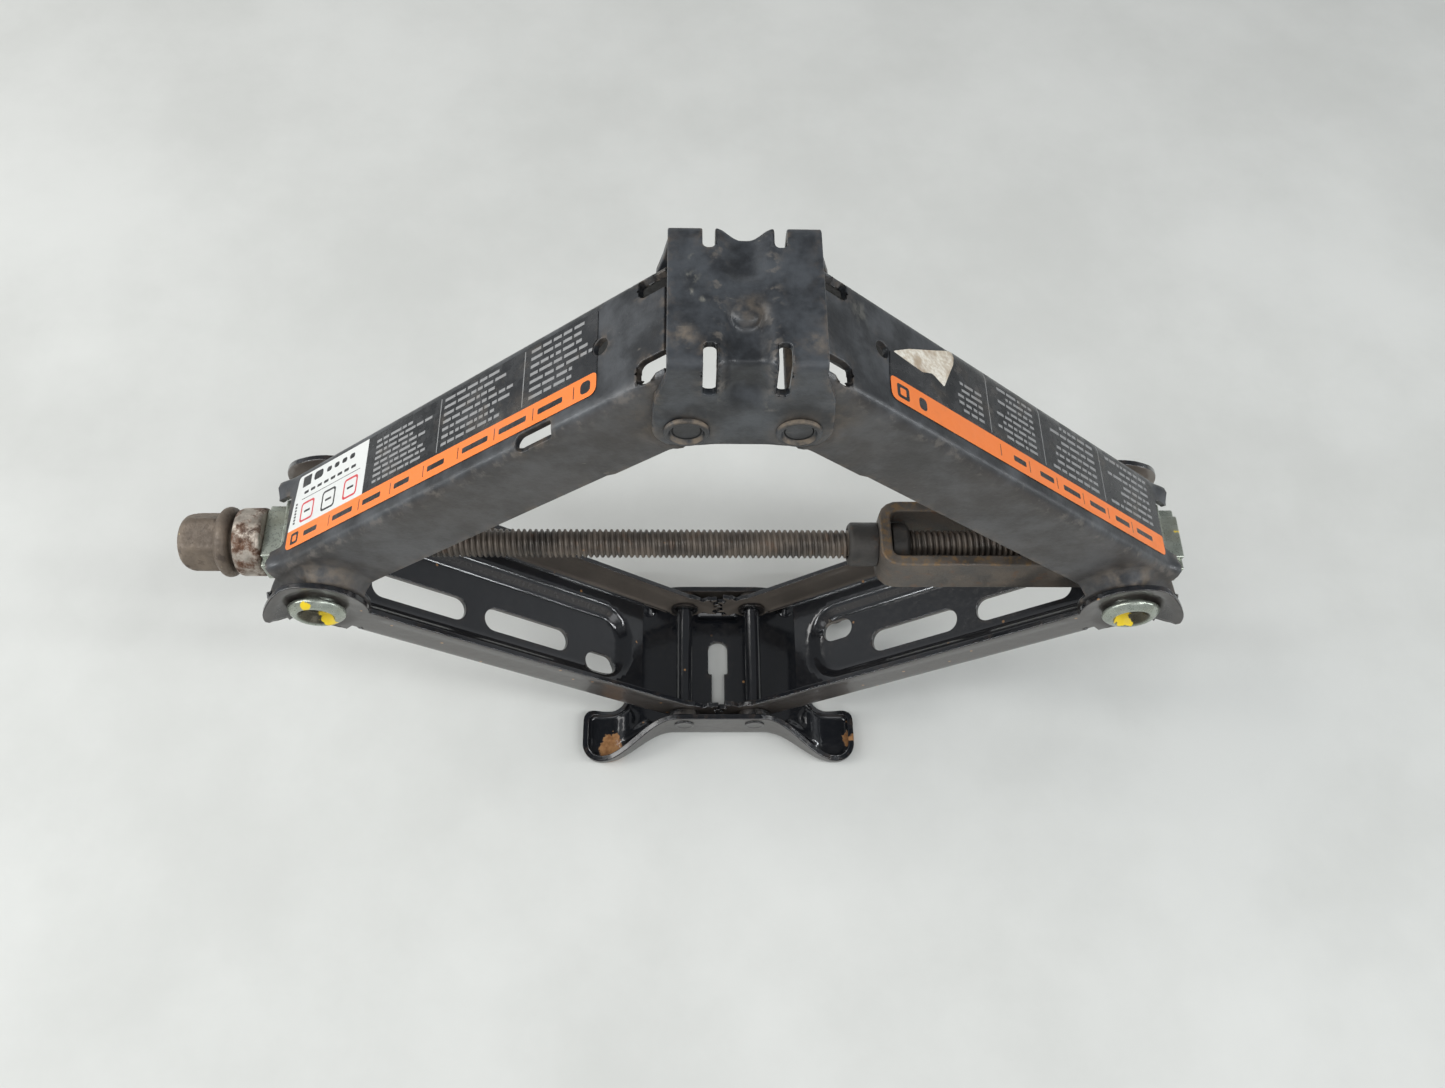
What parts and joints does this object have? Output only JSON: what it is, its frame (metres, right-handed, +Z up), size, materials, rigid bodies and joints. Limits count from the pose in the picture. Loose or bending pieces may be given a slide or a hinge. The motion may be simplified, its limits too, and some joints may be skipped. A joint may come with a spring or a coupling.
{
  "type": "scissor jack",
  "caption": "Folding car jack: channel arms on a pressed base, geared at both ends and drawn together by a screw with a hex drive head.",
  "frame": {"origin": "middle of the underside of the base, in the wide end of its stowing keyhole", "axes": "X along the screw with the hex drive head at -X, Y along the pivots, +Z up to the saddle"},
  "size_m": [0.4109, 0.104, 0.3069],
  "materials": {
    "base_paint": "glossy black dip paint, rust at two feet",
    "lower_arm_paint": "glossy black dip paint with dust",
    "upper_arm_paint": "satin black dip paint, scuffed edges",
    "saddle_paint": "worn satin black paint",
    "dark_pins": "dark oiled steel",
    "zinc_plate": "pale zinc plating with a yellow paint mark",
    "oiled_steel": "brown oiled steel",
    "screw_steel": "oiled screw thread with grime",
    "rusty_head": "grey-brown tarnished steel",
    "rusty_cup": "rusty steel sleeve",
    "bearing_steel": "greased bearing steel",
    "label": null
  },
  "bodies": {
    "base": {"base_plate": "base_paint", "base_pin_left": "dark_pins", "base_pin_right": "dark_pins", "base_pin_washers": "dark_pins"},
    "lower_left": {"lower_left_arm": "lower_arm_paint"},
    "lower_right": {"lower_right_arm": "lower_arm_paint"},
    "upper_left": {"upper_left_arm": "upper_arm_paint", "warning_label_left": "label"},
    "upper_right": {"upper_right_arm": "upper_arm_paint", "warning_label_right": "label"},
    "saddle": {"saddle_plate": "saddle_paint", "saddle_pin_left": "dark_pins", "saddle_pin_right": "dark_pins"},
    "left_block": {"left_trunnion": "zinc_plate", "bearing_cup": "rusty_cup", "inner_race": "bearing_steel", "bearing_balls": "bearing_steel"},
    "right_block": {"right_trunnion": "zinc_plate", "yoke": "oiled_steel", "drive_nut": "oiled_steel"},
    "spindle": {"screw": "screw_steel", "drive_head": "rusty_head", "outer_race": "bearing_steel"}
  },
  "joints": [
    {"name": "fold", "type": "hinge", "parent": "base", "child": "lower_left", "pos_m": [-0.0175, 0, 0.017], "axis": [0, 1, 0], "range_deg": [-34, 19]},
    {"name": "lower_right_fold", "type": "hinge", "parent": "base", "child": "lower_right", "pos_m": [0.0175, 0, 0.017], "axis": [0, -1, 0], "range_deg": [-34, 19]},
    {"name": "left_side_pivot", "type": "hinge", "parent": "lower_left", "child": "upper_left", "pos_m": [-0.16467, 0, 0.14493], "axis": [0, -1, 0], "range_deg": [-68, 38]},
    {"name": "right_side_pivot", "type": "hinge", "parent": "lower_right", "child": "upper_right", "pos_m": [0.16467, 0, 0.14493], "axis": [0, 1, 0], "range_deg": [-68, 38]},
    {"name": "saddle_left_pivot", "type": "hinge", "parent": "upper_left", "child": "saddle", "pos_m": [-0.0175, 0, 0.27286], "axis": [0, 1, 0], "range_deg": [-34, 19]},
    {"name": "left_block_pivot", "type": "hinge", "parent": "lower_left", "child": "left_block", "pos_m": [-0.16467, 0, 0.14493], "axis": [0, -1, 0], "range_deg": [-34, 19]},
    {"name": "right_block_pivot", "type": "hinge", "parent": "lower_right", "child": "right_block", "pos_m": [0.16467, 0, 0.14493], "axis": [0, 1, 0], "range_deg": [-34, 19]},
    {"name": "screw_turn", "type": "hinge", "parent": "left_block", "child": "spindle", "pos_m": [-0.16467, 0, 0.14493], "axis": [1, 0, 0], "continuous": true}
  ],
  "couplings": [
    {"joint": "lower_right_fold", "follows": "fold", "ratio": 1},
    {"joint": "left_side_pivot", "follows": "fold", "ratio": 2},
    {"joint": "right_side_pivot", "follows": "fold", "ratio": 2},
    {"joint": "saddle_left_pivot", "follows": "fold", "ratio": 1},
    {"joint": "left_block_pivot", "follows": "fold", "ratio": 1},
    {"joint": "right_block_pivot", "follows": "fold", "ratio": 1}
  ]
}
